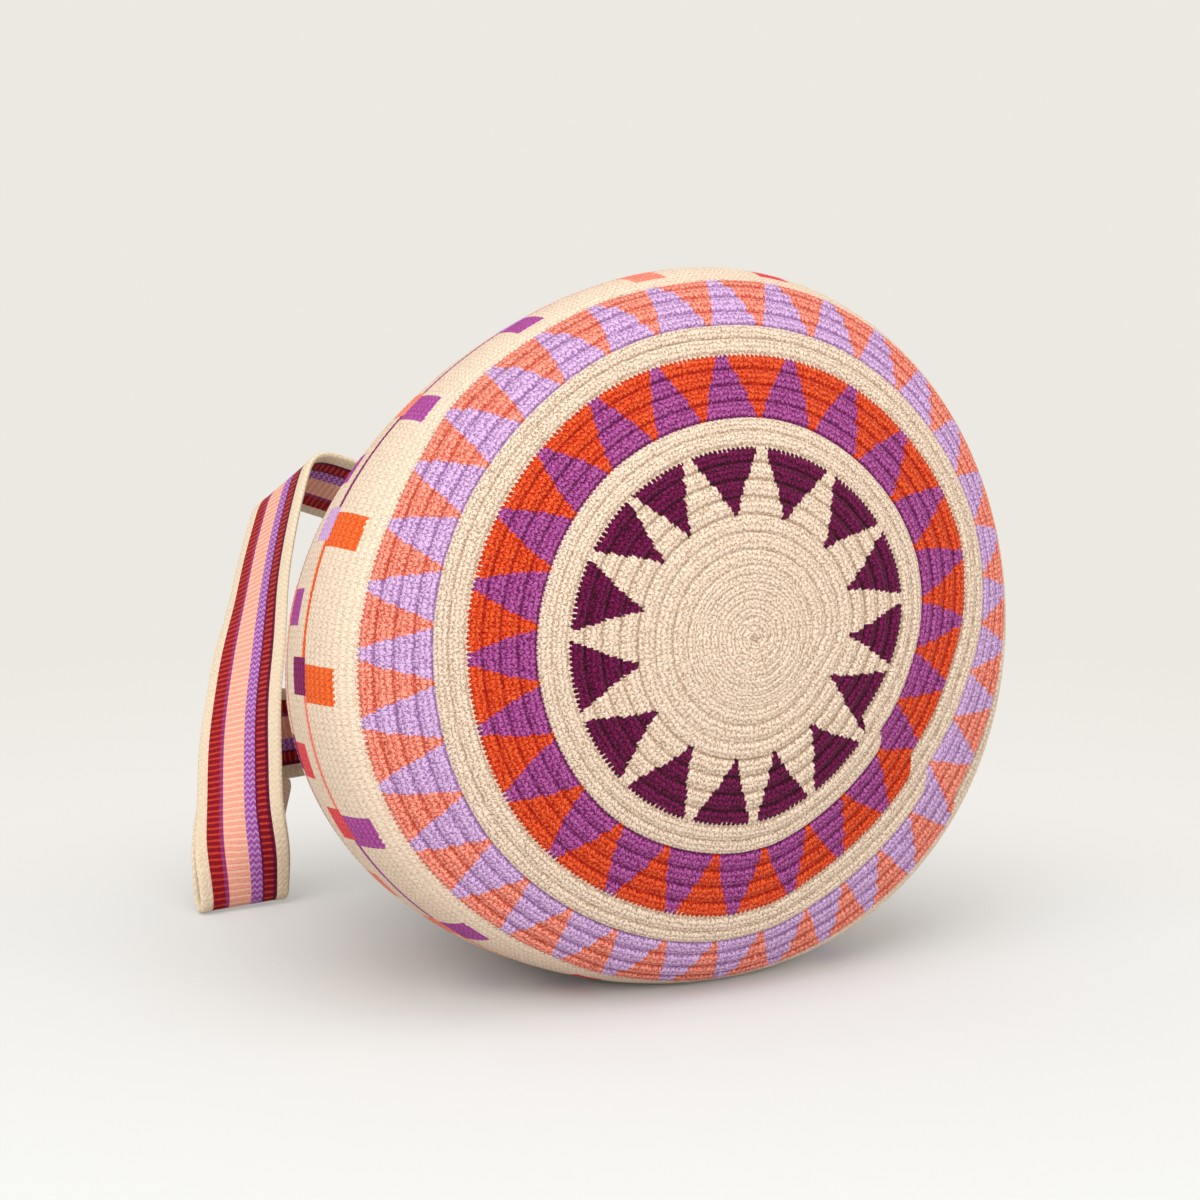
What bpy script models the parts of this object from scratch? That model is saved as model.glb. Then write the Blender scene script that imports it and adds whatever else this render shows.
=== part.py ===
# Susu bag lying on its side: a round-bottomed pouch crocheted in one piece,
# with a woven shoulder strap sewn to its rim by a row of stitches at each end.
# Metres, +Z up. The bag's own axes: x sideways, y up its base, z out of the base.
import math

import bmesh
import bpy
from mathutils import Matrix, Vector

# How the bag lies: height of the base's centre, and the way the base faces
BASE_HEIGHT = 0.141
BASE_TURN = math.radians(27.8)
BASE_LIFT = math.radians(4.24)

# Half outline from the base's centre to the lip: depth behind the base, radius
OUTLINE = (
    (0.000, 0.0000), (0.002, 0.0400), (0.0068, 0.0698), (0.0103, 0.0802),
    (0.0182, 0.1040), (0.0228, 0.1155), (0.038, 0.1327), (0.058, 0.1390),
    (0.085, 0.1370), (0.115, 0.1260), (0.150, 0.1100), (0.190, 0.0910),
    (0.225, 0.0740), (0.250, 0.0660))
WALL = 0.003
SEGMENTS = 48

# Crocheted rows of the base, from its centre out: how many, row width, yarn
BASE_ROWS = (
    (8, 0.0032, "cream"), (3, 0.00645, "cream"), (4, 0.00645, "plum"),
    (2, 0.00555, "cream"), (4, 0.00645, "orange"), (2, 0.0056, "cream"),
    (4, 0.0057, "salmon"))
GROOVE = 0.0011
SIDE_RINGS = 16
INSIDE_RINGS = 14

# Sag of the soft wall: waves round the belly, and the mouth's drop to the floor
SAG_RISE = (0.016, 0.048)
SAG_FADE = (0.110, 0.230)
MOUTH_DROP = 0.050
DROP_START = 0.058

# Eyelets for a drawstring, in a ring below the lip
EYELETS = 12
EYELET_RADIUS = 0.003
EYELET_SIDES = 10
EYELET_BELOW_LIP = 0.035

# Strap: a flat woven band
STRAP_WIDTH = 0.038
STRAP_THICK = 0.002
STRAP_STEP = 0.0025
STRAP_COLUMNS = (-1.0, -0.7, 0.0, 0.7, 1.0)
STRAP_OVERLAP = 0.020
UPPER_SEAT = math.radians(25)
LOWER_SEAT = math.radians(190)
# How deep each end presses the wall flat, how far below the lip that starts,
# and the length over which it grows
SEAT_PRESS = 0.002
PRESS_START = 0.075
PRESS_GROWTH = 0.035
# Which edge of the band lies ahead, going round the mouth, at each seat
SEAT_SIDES = (-1, 1)
GAP = 0.0003

# The strap's front leg stands on the floor beside the bag. It starts here,
# measured from the base's centre, and runs both ways from this cross line.
STRAP_START = Vector((-0.1992, 0.1391, -0.0976))
STRAP_UP = Vector((-0.050, 0.562, 0.825))
STRAP_ACROSS = Vector((0.941, -0.251, 0.228))
UPPER_LENGTH = 0.364
LOWER_LENGTH = 0.200
# Gentle bends: place along the strap, half length, then degrees of
# bend, twist and sideways turn
BENDS = (
    (-0.160, 0.020, -106, 7, 2), (-0.140, 0.020, -74.5, -30, -8.7),
    (-0.120, 0.020, 18, 69, -23), (-0.100, 0.020, 40.4, -4.6, -9.4),
    (-0.080, 0.020, -31.3, 11.8, 0), (-0.060, 0.022, 43.9, -3.6, -22.9),
    (-0.020, 0.028, -37.5, -46.1, 0), (0.030, 0.034, -12.9, -10.1, 0),
    (0.080, 0.034, -2.8, -14.4, 0), (0.125, 0.034, -5.1, -2.6, 0),
    (0.228, 0.030, -3.7, 19.1, 0), (0.256, 0.030, -31.2, -10, 0),
    (0.284, 0.030, -61.3, -62.9, 0), (0.312, 0.030, -58.6, -70.8, 0))
# The fold on the floor: place, half length, degrees
FLOOR_FOLD = (-0.0449, 0.008, -173.2)
# The strap rolls over its top along a slanting line: place, half length,
# degrees, slant of the line, and the length over which the slant fades
TOP_ROLL = (0.1625, 0.017, -78.2, 79.0, 0.030)
# Each end lies flat over its seat and the lip, and is eased onto it before that
SEAT_FLAT = 0.022
SEAT_EASE = 0.100
# Cross lines of the mesh are closer than usual within these stretches
COARSE_STEPS = 2
FINE_STRETCHES = ((-0.178, -0.105), (-0.056, -0.034), (0.140, 0.185))

# Sewing thread
THREAD_RADIUS = 0.0005
STITCH_PITCH = 0.004
STITCH_REACH = 0.003
SEAM_MARGIN = 0.003
# How fast the wall falls away from the flat seat beside the pressed patch
FALL_AWAY = 0.2

YARNS = {
    "cream": (0.76, 0.62, 0.46), "plum": (0.11, 0.002, 0.04),
    "orange": (0.79, 0.07, 0.01), "salmon": (0.95, 0.22, 0.14),
    "strap": (0.80, 0.33, 0.24), "thread": (0.78, 0.66, 0.50)}


def smooth(x):
    x = min(max(x, 0.0), 1.0)
    return x * x * (3 - 2 * x)


def material(name):
    """A yarn's own material."""
    found = bpy.data.materials.get(name)
    if found:
        return found
    mat = bpy.data.materials.new(name)
    mat.use_nodes = True
    shader = mat.node_tree.nodes["Principled BSDF"]
    shader.inputs["Base Color"].default_value = (*YARNS[name], 1)
    shader.inputs["Roughness"].default_value = 0.9
    shader.inputs["Metallic"].default_value = 0.0
    mat.diffuse_color = (*YARNS[name], 1)
    return mat


# The bag's wall

def outline_lengths():
    lengths = [0.0]
    for a, b in zip(OUTLINE, OUTLINE[1:]):
        lengths.append(lengths[-1] + math.dist(a, b))
    return lengths


LENGTHS = outline_lengths()
LIP = LENGTHS[-1]
LAY = Matrix.Rotation(BASE_TURN, 4, "Z") @ Matrix.Rotation(math.pi / 2 - BASE_LIFT, 4, "X")


def outline_at(run):
    """Depth and radius at a length along the outline, on a smooth curve."""
    i = max(k for k in range(len(LENGTHS) - 1) if run >= LENGTHS[k] - 1e-9)
    span = LENGTHS[i + 1] - LENGTHS[i]
    u = (run - LENGTHS[i]) / span
    ends = (OUTLINE[i], OUTLINE[i + 1])
    slopes = []
    for k in (i, i + 1):
        if k == 0:
            slopes.append((0.0, 1.0))
            continue
        lo, hi = k - 1, min(k + 1, len(OUTLINE) - 1)
        reach = LENGTHS[hi] - LENGTHS[lo]
        slopes.append([(OUTLINE[hi][j] - OUTLINE[lo][j]) / reach for j in (0, 1)])
    weights = (2 * u**3 - 3 * u**2 + 1, 3 * u**2 - 2 * u**3)
    pulls = ((u**3 - 2 * u**2 + u) * span, (u**3 - u**2) * span)
    return [weights[0] * ends[0][j] + weights[1] * ends[1][j]
            + pulls[0] * slopes[0][j] + pulls[1] * slopes[1][j] for j in (0, 1)]


def outline_in(run, depth_in):
    """The outline at a length along it, set in from the outer face."""
    step = 0.0005
    a = outline_at(max(run - step, 0.0))
    b = outline_at(min(run + step, LIP))
    length = math.dist(a, b)
    depth, radius = outline_at(run)
    depth += (b[1] - a[1]) / length * depth_in
    radius -= (b[0] - a[0]) / length * depth_in
    return depth, max(radius, 0.0)


def sag(angle):
    """How far the slumped wall stands off a round one, round the belly."""
    return (0.0002 + 0.00155 * math.cos(angle) - 0.0067 * math.sin(angle)
            + 0.0050 * math.cos(2 * angle) + 0.0009 * math.sin(2 * angle)
            - 0.0030 * math.cos(3 * angle) - 0.0017 * math.sin(3 * angle))


def laid(depth, radius, angle):
    """A wall point as the slumped bag lies, from its round shape."""
    belly = smooth((depth - SAG_RISE[0]) / (SAG_RISE[1] - SAG_RISE[0]))
    belly *= 1 - smooth((depth - SAG_FADE[0]) / (SAG_FADE[1] - SAG_FADE[0]))
    radius += sag(angle) * belly
    point = LAY @ Vector((radius * math.cos(angle), radius * math.sin(angle), -depth))
    back = max(depth - DROP_START, 0.0) / (OUTLINE[-1][0] - DROP_START)
    point.z += BASE_HEIGHT - MOUTH_DROP * back**1.5
    return point


def seat(angle):
    """Where a strap end lies on the wall: centre, way to the mouth, round, out."""
    step = 0.002
    turn = 0.02
    run = LIP - STRAP_OVERLAP
    at = laid(*outline_at(run), angle)
    to_mouth = laid(*outline_at(run + step), angle) - laid(*outline_at(run - step), angle)
    to_mouth.normalize()
    around = laid(*outline_at(run), angle + turn) - laid(*outline_at(run), angle - turn)
    around -= around.dot(to_mouth) * to_mouth
    around.normalize()
    out = to_mouth.cross(around)
    return at - SEAT_PRESS * out, to_mouth, around, out


SEATS = (seat(UPPER_SEAT), seat(LOWER_SEAT))


def settled(point, run, depth_in):
    """The wall pressed flat under the strap's ends and on the floor."""
    pressed = smooth((run - LIP + PRESS_START) / PRESS_GROWTH)
    for at, to_mouth, around, out in SEATS:
        over = (point - at).dot(out) + depth_in
        if over > 0:
            point = point - over * pressed * out
    point.z = max(point.z, depth_in)
    return point


def profile():
    """Half section of the shell: run, set-in depth and the point, outside then in."""
    rows = []
    run = 0.0
    for count, width, yarn in BASE_ROWS:
        for _ in range(count):
            rows.append((run, 0.0 if run == 0 else GROOVE))
            rows.append((run + width / 2, 0.0))
            run += width
    rows.append((run, GROOVE))
    for k in range(1, SIDE_RINGS + 1):
        rows.append((run + (LIP - run) * k / SIDE_RINGS, 0.0))
    points = [(s, 0.0, *outline_in(s, g)) for s, g in rows]
    for k in range(INSIDE_RINGS, -1, -1):
        s = LIP * k / INSIDE_RINGS
        points.append((s, WALL, *outline_in(s, WALL)))
    points[-1] = (0.0, WALL, WALL, 0.0)
    return points


def turned_shell(points):
    """The half section turned about the bag's axis."""
    mesh = bpy.data.meshes.new("crocheted_bag")
    count = len(points)
    mesh.from_pydata([(r, 0, -d) for s, g, d, r in points],
                     [(k, k + 1) for k in range(count - 1)], [])
    for name, values in (("run", [p[0] for p in points]), ("set_in", [p[1] for p in points])):
        mesh.attributes.new(name, "FLOAT", "POINT").data.foreach_set("value", values)
    half = bpy.data.objects.new("half_section", mesh)
    bpy.context.scene.collection.objects.link(half)
    turn = half.modifiers.new("turn", "SCREW")
    turn.steps = turn.render_steps = SEGMENTS
    turn.use_merge_vertices = True
    turn.merge_threshold = 0.00005
    turn.use_smooth_shade = True
    view = bpy.context.evaluated_depsgraph_get()
    whole = bpy.data.meshes.new_from_object(half.evaluated_get(view))
    bpy.data.objects.remove(half)
    return whole


def row_yarn(run):
    for count, width, yarn in BASE_ROWS:
        run -= count * width
        if run < 0:
            return yarn
    return "cream"


def bag_shell(parts, cutters):
    """The crocheted pouch, one piece from the base's centre to the rim."""
    mesh = turned_shell(profile())
    runs = [d.value for d in mesh.attributes["run"].data]
    insets = [d.value for d in mesh.attributes["set_in"].data]
    for v in mesh.vertices:
        angle = math.atan2(v.co.y, v.co.x)
        point = laid(-v.co.z, math.hypot(v.co.x, v.co.y), angle)
        v.co = settled(point, runs[v.index], insets[v.index])
    names = ["cream", "plum", "orange", "salmon"]
    mesh.materials.clear()
    for name in names:
        mesh.materials.append(material(name))
    for face in mesh.polygons:
        mid = sum(runs[i] for i in face.vertices) / len(face.vertices)
        outer = max(insets[i] for i in face.vertices) < WALL
        face.material_index = names.index(row_yarn(mid)) if outer else 0
    bag = bpy.data.objects.new("crocheted_bag", mesh)
    parts.objects.link(bag)
    cut = bag.modifiers.new("eyelets", "BOOLEAN")
    cut.operation = "DIFFERENCE"
    cut.object = eyelet_cutter(cutters)
    return bag


def eyelet_cutter(cutters):
    """A ring of pins through the wall below the lip."""
    bm = bmesh.new()
    run = LIP - EYELET_BELOW_LIP
    for k in range(EYELETS):
        angle = 2 * math.pi * (k + 0.5) / EYELETS
        outer = settled(laid(*outline_at(run), angle), run, 0.0)
        inner = settled(laid(*outline_in(run, WALL), angle), run, WALL)
        turn = (outer - inner).to_track_quat("Z", "Y").to_matrix().to_4x4()
        bmesh.ops.create_cone(
            bm, cap_ends=True, segments=EYELET_SIDES, radius1=EYELET_RADIUS, radius2=EYELET_RADIUS,
            depth=4 * WALL, matrix=Matrix.Translation((outer + inner) / 2) @ turn)
    mesh = bpy.data.meshes.new("eyelet_pins")
    bm.to_mesh(mesh)
    bm.free()
    pins = bpy.data.objects.new("eyelet_pins", mesh)
    cutters.objects.link(pins)
    pins.hide_render = True
    pins.display_type = "WIRE"
    return pins


# The strap

def hump(place, centre, half):
    """A smooth hump of area 1 along the strap."""
    x = min(max((place - centre) / half, -1.0), 1.0)
    return (1 + math.cos(math.pi * x)) / (2 * half)


def slant(place):
    """Direction of the strap's straight cross line, against its length."""
    centre, half, turn, line, fade = TOP_ROLL
    near = smooth((fade + half - abs(place - centre)) / fade)
    return math.pi / 2 + (math.radians(line) - math.pi / 2) * near


def turn_rate(place, along, across):
    """The strap's turn for each metre of its length, as a rotation vector."""
    bend = sum(math.radians(b) * hump(place, c, h) for c, h, b, t, s in BENDS)
    twist = sum(math.radians(t) * hump(place, c, h) for c, h, b, t, s in BENDS)
    aside = sum(math.radians(s) * hump(place, c, h) for c, h, b, t, s in BENDS)
    centre, half, fold = FLOOR_FOLD
    bend += math.radians(fold) * hump(place, centre, half)
    centre, half, roll, line, fade = TOP_ROLL
    lean = slant(place)
    line = math.cos(lean) * along + math.sin(lean) * across
    roll = math.radians(roll) * hump(place, centre, half)
    return bend * across + twist * along + roll * line + aside * across.cross(along)


def strap_run(length, way):
    """Cross lines from the start to one end: place, centre, along, across."""
    along = STRAP_UP.normalized()
    across = (STRAP_ACROSS - STRAP_ACROSS.dot(along) * along).normalized()
    centre = STRAP_START + Vector((0, 0, BASE_HEIGHT))
    lines = [(0.0, centre, along, across)]
    steps = math.ceil(length / STRAP_STEP)
    step = length / steps
    for k in range(steps):
        rate = turn_rate(way * k * step, along, across) * step * way
        turn = Matrix.Rotation(rate.length, 3, rate.normalized())
        before = along
        along = (turn @ along).normalized()
        across = (turn @ across).normalized()
        centre = centre + way * step * (before + along) / 2
        lines.append((way * (k + 1) * step, centre, along, across))
    return lines


def frame_matrix(centre, along, across):
    """A place and its three directions, as one matrix."""
    up = along.cross(across)
    return Matrix.Translation(centre) @ Matrix((along, across, up)).transposed().to_4x4()


def eased(length, way, end):
    """One leg of the strap, from the start to its seat: place and frame of each line."""
    lines = strap_run(length - SEAT_FLAT, way)
    place, centre, along, across = lines[-1]
    seat_centre, seat_along, seat_across = end
    flat_start = seat_centre - way * SEAT_FLAT * seat_along
    fit = frame_matrix(flat_start, seat_along, seat_across)
    fit = fit @ frame_matrix(centre, along, across).inverted()
    turn = fit.to_3x3()
    moved = []
    for place, centre, along, across in lines:
        share = smooth((abs(place) - length + SEAT_FLAT + SEAT_EASE) / SEAT_EASE)
        moved.append((place, centre.lerp(fit @ centre, share),
                      along.lerp(turn @ along, share).normalized(),
                      across.lerp(turn @ across, share).normalized()))
    for k in (0.5, 1.0):
        spot = flat_start.lerp(seat_centre, k)
        moved.append((way * (length - SEAT_FLAT * (1 - k)), spot, seat_along, seat_across))
    return moved


def seat_frame(index, way):
    """The strap's end on its seat: centre, along, across."""
    at, to_mouth, around, out = SEATS[index]
    centre = at + (GAP + STRAP_THICK / 2) * out
    along = -to_mouth if way > 0 else to_mouth
    return centre, along, around * SEAT_SIDES[index]


def strap_lines():
    """All the strap's cross lines, from its lower seat to its upper one."""
    upper = eased(UPPER_LENGTH, 1, seat_frame(0, 1))
    lower = eased(LOWER_LENGTH, -1, seat_frame(1, -1))
    return lower[:0:-1] + upper


def strap_point(line, column):
    """A point of the band's middle surface, column from -1 to 1 across it."""
    place, centre, along, across = line
    lean = slant(place)
    cross = math.cos(lean) * along + math.sin(lean) * across
    return centre + cross * (column * STRAP_WIDTH / 2 / math.sin(lean))


def strap_band(parts):
    """The woven band, one piece: a surface of cross lines given its thickness."""
    lines = strap_lines()
    kept = []
    for k, line in enumerate(lines):
        fine = any(a < line[0] < b for a, b in FINE_STRETCHES)
        if fine or k % COARSE_STEPS == 0 or k == len(lines) - 1:
            kept.append(line)
    verts = [strap_point(line, column) for line in kept for column in STRAP_COLUMNS]
    wide = len(STRAP_COLUMNS)
    faces = [(i * wide + j, i * wide + j + 1, (i + 1) * wide + j + 1, (i + 1) * wide + j)
             for i in range(len(kept) - 1) for j in range(wide - 1)]
    mesh = bpy.data.meshes.new("woven_strap")
    mesh.from_pydata(verts, [], faces)
    mesh.materials.append(material("strap"))
    mesh.shade_smooth()
    strap = bpy.data.objects.new("woven_strap", mesh)
    parts.objects.link(strap)
    thick = strap.modifiers.new("thickness", "SOLIDIFY")
    thick.thickness = STRAP_THICK
    thick.offset = 0
    return strap


# The seams

def strap_seam(parts, index, name):
    """Whip stitches over a strap end: down to the wall and back onto the band."""
    at, to_mouth, around, out = SEATS[index]
    half = STRAP_WIDTH / 2 - SEAM_MARGIN
    pressed_half = math.sqrt(2 * SEAT_PRESS * OUTLINE[-1][1])
    stitches = round(2 * half / STITCH_PITCH)
    low = 2 * GAP + THREAD_RADIUS
    high = low + STRAP_THICK + GAP
    points = []
    for k in range(stitches + 1):
        side = -half + 2 * half * k / stitches
        base = at + side * around
        beside = max(abs(side) - pressed_half, 0.0)
        on_wall = base - STITCH_REACH * to_mouth + (low - FALL_AWAY * beside) * out
        on_band = base + STITCH_REACH * to_mouth + high * out
        over_edge = base - (GAP + 2 * THREAD_RADIUS) * to_mouth + high * out
        points += [on_wall, over_edge, on_band] if k % 2 == 0 else [on_band, over_edge, on_wall]
    curve = bpy.data.curves.new(name, "CURVE")
    curve.dimensions = "3D"
    curve.bevel_depth = THREAD_RADIUS
    curve.bevel_resolution = 1
    curve.use_fill_caps = True
    spline = curve.splines.new("POLY")
    spline.points.add(len(points) - 1)
    for target, point in zip(spline.points, points):
        target.co = (*point, 1)
    curve.materials.append(material("thread"))
    seam = bpy.data.objects.new(name, curve)
    parts.objects.link(seam)
    return seam


def stand_on_origin(objects):
    """Move everything so that the origin is under the middle of the whole bag."""
    bpy.context.view_layer.update()
    view = bpy.context.evaluated_depsgraph_get()
    corners = []
    for obj in objects:
        seen = obj.evaluated_get(view)
        mesh = seen.to_mesh()
        corners += [obj.matrix_world @ v.co for v in mesh.vertices]
        seen.to_mesh_clear()
    low = [min(c[k] for c in corners) for k in range(3)]
    high = [max(c[k] for c in corners) for k in range(3)]
    middle = Vector(((low[0] + high[0]) / 2, (low[1] + high[1]) / 2, low[2]))
    for obj in bpy.data.objects:
        obj.location -= middle


def main():
    for obj in list(bpy.data.objects):
        bpy.data.objects.remove(obj)
    parts = bpy.data.collections.new("susu_bag")
    cutters = bpy.data.collections.new("cutters")
    bpy.context.scene.collection.children.link(parts)
    bpy.context.scene.collection.children.link(cutters)
    made = [bag_shell(parts, cutters), strap_band(parts),
            strap_seam(parts, 0, "upper_strap_seam"), strap_seam(parts, 1, "lower_strap_seam")]
    stand_on_origin(made)


main()
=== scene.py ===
import math

import bpy
import numpy as np
from mathutils import Matrix, Vector


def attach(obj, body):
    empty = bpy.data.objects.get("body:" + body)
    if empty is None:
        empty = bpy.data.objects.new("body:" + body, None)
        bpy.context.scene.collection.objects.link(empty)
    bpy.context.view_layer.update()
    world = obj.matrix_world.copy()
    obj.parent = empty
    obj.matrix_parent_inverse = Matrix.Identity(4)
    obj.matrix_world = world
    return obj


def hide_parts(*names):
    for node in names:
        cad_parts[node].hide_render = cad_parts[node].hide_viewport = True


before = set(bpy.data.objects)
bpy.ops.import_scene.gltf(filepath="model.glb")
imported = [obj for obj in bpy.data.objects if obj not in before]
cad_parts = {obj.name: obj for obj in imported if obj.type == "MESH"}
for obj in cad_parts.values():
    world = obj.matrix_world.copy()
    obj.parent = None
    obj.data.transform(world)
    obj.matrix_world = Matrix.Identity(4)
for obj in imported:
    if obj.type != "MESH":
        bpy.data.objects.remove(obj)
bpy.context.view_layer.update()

TURN = 2 * math.pi

# How the bag lies: its base's centre in the frame, and the way the base faces
BASE_AT = np.array((0.058326, -0.136955, 0.141))
BASE_TURN = math.radians(27.8)
BASE_LIFT = math.radians(4.24)
LAY = np.array((Matrix.Rotation(BASE_TURN, 3, "Z")
                @ Matrix.Rotation(math.pi / 2 - BASE_LIFT, 3, "X")))

# Half outline from the base's centre to the lip: depth behind the base, radius
OUTLINE = np.array((
    (0.000, 0.0000), (0.002, 0.0400), (0.0068, 0.0698), (0.0103, 0.0802),
    (0.0182, 0.1040), (0.0228, 0.1155), (0.038, 0.1327), (0.058, 0.1390),
    (0.085, 0.1370), (0.115, 0.1260), (0.150, 0.1100), (0.190, 0.0910),
    (0.225, 0.0740), (0.250, 0.0660)))
WALL = 0.003
# Slump of the wall: waves round the belly, depths over which they rise and fade, and
# how far the mouth sinks
SAG_MEAN = 0.0002
SAG_WAVES = ((1, 0.00155, -0.0067), (2, 0.0050, 0.0009), (3, -0.0030, -0.0017))
SAG_RISE = (0.016, 0.048)
SAG_FADE = (0.110, 0.230)
MOUTH_DROP = 0.050
DROP_START = 0.058
DROP_CURVE = 1.5
# The wall is pressed flat under the strap's ends, near the lip
SEAT_PRESS = 0.002
PRESS_START = 0.075
PRESS_RAMP = 0.035

# Eyelets in a ring below the lip, how far off they pull stitches, and within what
# distance stitches go to their edge. Then the rounding of the rim, in degrees
EYELETS = 12
EYELET_RADIUS = 0.003
EYELET_BELOW_LIP = 0.035
EYELET_PULL = 0.0075
EYELET_RING = 0.0019
RIM_TURNS = (36, 72, 108, 144)

# Crocheted rows of the base, from its centre out: how many, width, pattern
BASE_ROWS = ((8, 0.0032, "plain"), (3, 0.00645, "plain"), (4, 0.00645, "plum"),
             (2, 0.00555, "plain"), (4, 0.00645, "orange"), (2, 0.0056, "plain"),
             (4, 0.0057, "salmon"))
# Width of a stitch on the base, and the height of a line of stitches in a row
BASE_PITCH = 0.0019
SUBROW = 0.0021
# Rows of the side: up to the eyelets, and from them to the lip
SIDE_ROWS = 74
NECK_ROWS = 13
# Stitches round the side, and the side row from which they hold
SIDE_STITCHES = ((400, 0), (325, 40), (240, 62))
# Rows at which skins end: two from the base's centre, the belly's from the base's
# edge and the back's from the lip
SKIN_ROWS = (17, 22, 30, 18)

# Grooves between rows: depth, how suddenly a row dips into them, and how much painted
# shade darkens them
BAND_GROOVE = (0.0011, 2.4, 0.92)
GROOVES = {"plain": (0.00088, 4.0, 0.68), "side": (0.0002, 4.0, 0.2)}
# The narrow rows in the base's middle end here, and their grooves are shallower
NARROW_END = 0.0256
NARROW_GROOVE = 0.7
# Stitches: their height, its share under the wall's face, and how far in sub-rows
# their two legs lean towards each other
STITCH_RELIEF = 0.0002
STITCH_SUNK = 0.6
LEG_LEAN = 0.45
# Each row's stitch coordinates start this far from the last row's
ROW_APART = 7

# Triangles of each banded pattern: the degrees of their tips, their width as a share
# of the spacing at SHARE_ROWS from the tips, and their yarn and the one around them
TIPS = {
    "plum": (17.1, 41, 67.5, 94.1, 120.2, 137.7, 162, 187.2, 211.1, 237.2, 262.4, 282.6,
        306, 332.1, 354.6),
    "orange": (3.2, 17.1, 32, 48.2, 64.4, 81, 97.7, 112.5, 127.8, 142.8, 157.5, 172.4,
        187, 201.2, 217.2, 232.8, 248, 262.8, 277, 290.7, 303.8, 319.5, 334.8, 349.7),
    "salmon": (4.5, 14.4, 24.8, 35.1, 46.2, 57.2, 68.2, 79.7, 90.5, 101.4, 111.9, 122.6,
        133, 143.4, 153.5, 163.4, 173.4, 183.6, 194, 204.3, 214.8, 225.5, 236.1, 246.4,
        257.1, 267.8, 277.2, 287.1, 296.1, 305.7, 315.5, 326, 336.3, 346.1, 355.5)}
SHARES = {"plum": (0.05, 0.19, 0.42, 0.67, 0.84, 0.90),
          "orange": (0.08, 0.196, 0.374, 0.605, 0.81, 0.88),
          "salmon": (0.06, 0.19, 0.40, 0.57, 0.79, 0.87)}
SHARE_ROWS = (0.0, 0.5, 1.5, 2.5, 3.5, 4.0)
# How much of a triangle's slope shows within a row; the rest is steps between rows
ROW_SLOPE = 0.8
BAND_YARNS = {"plum": ("plum", "cream"), "orange": ("orange", "purple"),
              "salmon": ("salmon", "lilac")}

# The rounds wind on by one row from here, over this length, and the pattern steps
# on to the next row within a short stretch at the start; all in degrees
WIND_START = 322.0
WIND_LENGTH = 48.0
WIND_STEP = 5.0
# In the middle the rounds are one spiral, up to this run, and change over this length;
# the pattern steps from further out
SPIRAL_END = 0.018
SPIRAL_FADE = 0.012
STEPS_START = 0.026

# How far the rounds stray from circles, in millimetres at these degrees: on the base,
# and at its edge and further on, where the slumped wall is drawn long
STRAY_AT = (0, 14, 25, 40, 60, 90, 110, 150, 185, 220, 250, 270, 280, 290, 300, 310,
            325, 335, 345, 355, 360)
STRAY = (0.6, 1.9, 0.9, -0.8, -2.4, -3.9, -3.3, -1.2, -0.6, -0.1, 0.5, 1.5, 0.9, -2.0,
         -3.9, -4.8, -5.2, -3.3, -2.2, 0.1, 0.6)
STRAY_FULL = 0.107
STRAY_END = 0.120
STRAY_FADE = 0.022
# Ripples of the rounds: millimetres, waves round, and radians' shift for each metre
RIPPLE = (0.3, 7, 60)
# The rounds' centre is off the base's by this, and they find back over this length
CENTRE_OFF = (0.0022, -0.0004)
CENTRE_FADE = 0.07
DRAWN_AT = (0, 60, 90, 104, 128, 137, 147, 156, 170, 227, 241, 251, 270, 300, 360)
DRAWN_EDGE = (0, 3, 5, 10.9, 12, 10.4, 4.4, 1.5, 0.5, 0.3, 1.5, 5.4, 7, 0, 0)
DRAWN_SQUARES = (0, 3, 6, 11, 12, 11, 10.4, 9.5, 6, 2, 2, 5, 6, 0, 0)
DRAWN_START = 0.1188
SQUARES_RUN = 0.165
SQUARES_FADE = 0.06

# Heads of stitches reach into the row before: over what share of it where a pale row
# follows a banded one, elsewhere on the base and on the side, and how unevenly
PALE_REACH, BASE_REACH, SIDE_REACH = 0.24, 0.13, 0.5
REACH_LEAST = 0.8
REACH_ADDED = 0.4
# Half widths of heads in stitches, and how far off a stitch's middle they are
BLUNT_HEAD = 0.2
TAPERED_HEAD = 0.55
HEAD_OFF = 0.125

# Lattice of squares round the side, in stitches and rows
UNIT = 25
SQUARE_START = 176
SQUARE_WIDE = 6
FRONT_ROWS = 6
BACK_ROWS = 5
RING_STEP = 10
FIRST_RING = 3
LAST_RING = 55
# Yarns of the squares in turn round a ring, and how far on each ring starts with them
FRONT_YARNS = "flame flame magenta magenta scarlet salmon magenta magenta".split()
BACK_YARNS = "lilac wine scarlet salmon wine flame lilac salmon".split()
LINE_YARNS = "flame salmon purple flame purple salmon purple wine".split()
RING_SHIFT = 3

# Strap: its size, its cross lines, and where its ends lie on the wall
STRAP_WIDTH = 0.038
STRAP_THICK = 0.002
STRAP_STEP = 0.0025
STRAP_FINE = 3
STRAP_SMOOTHED = 4
STRAP_OVERLAP = 0.020
UPPER_SEAT = math.radians(25)
LOWER_SEAT = math.radians(190)
GAP = 0.0003
# It is laid out both ways from a line on its front leg, given from the base's centre
STRAP_START = Vector((-0.1992, 0.1391, -0.0976))
STRAP_UP = Vector((-0.050, 0.562, 0.825))
STRAP_ACROSS = Vector((0.941, -0.251, 0.228))
UPPER_LENGTH = 0.364
LOWER_LENGTH = 0.200
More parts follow.
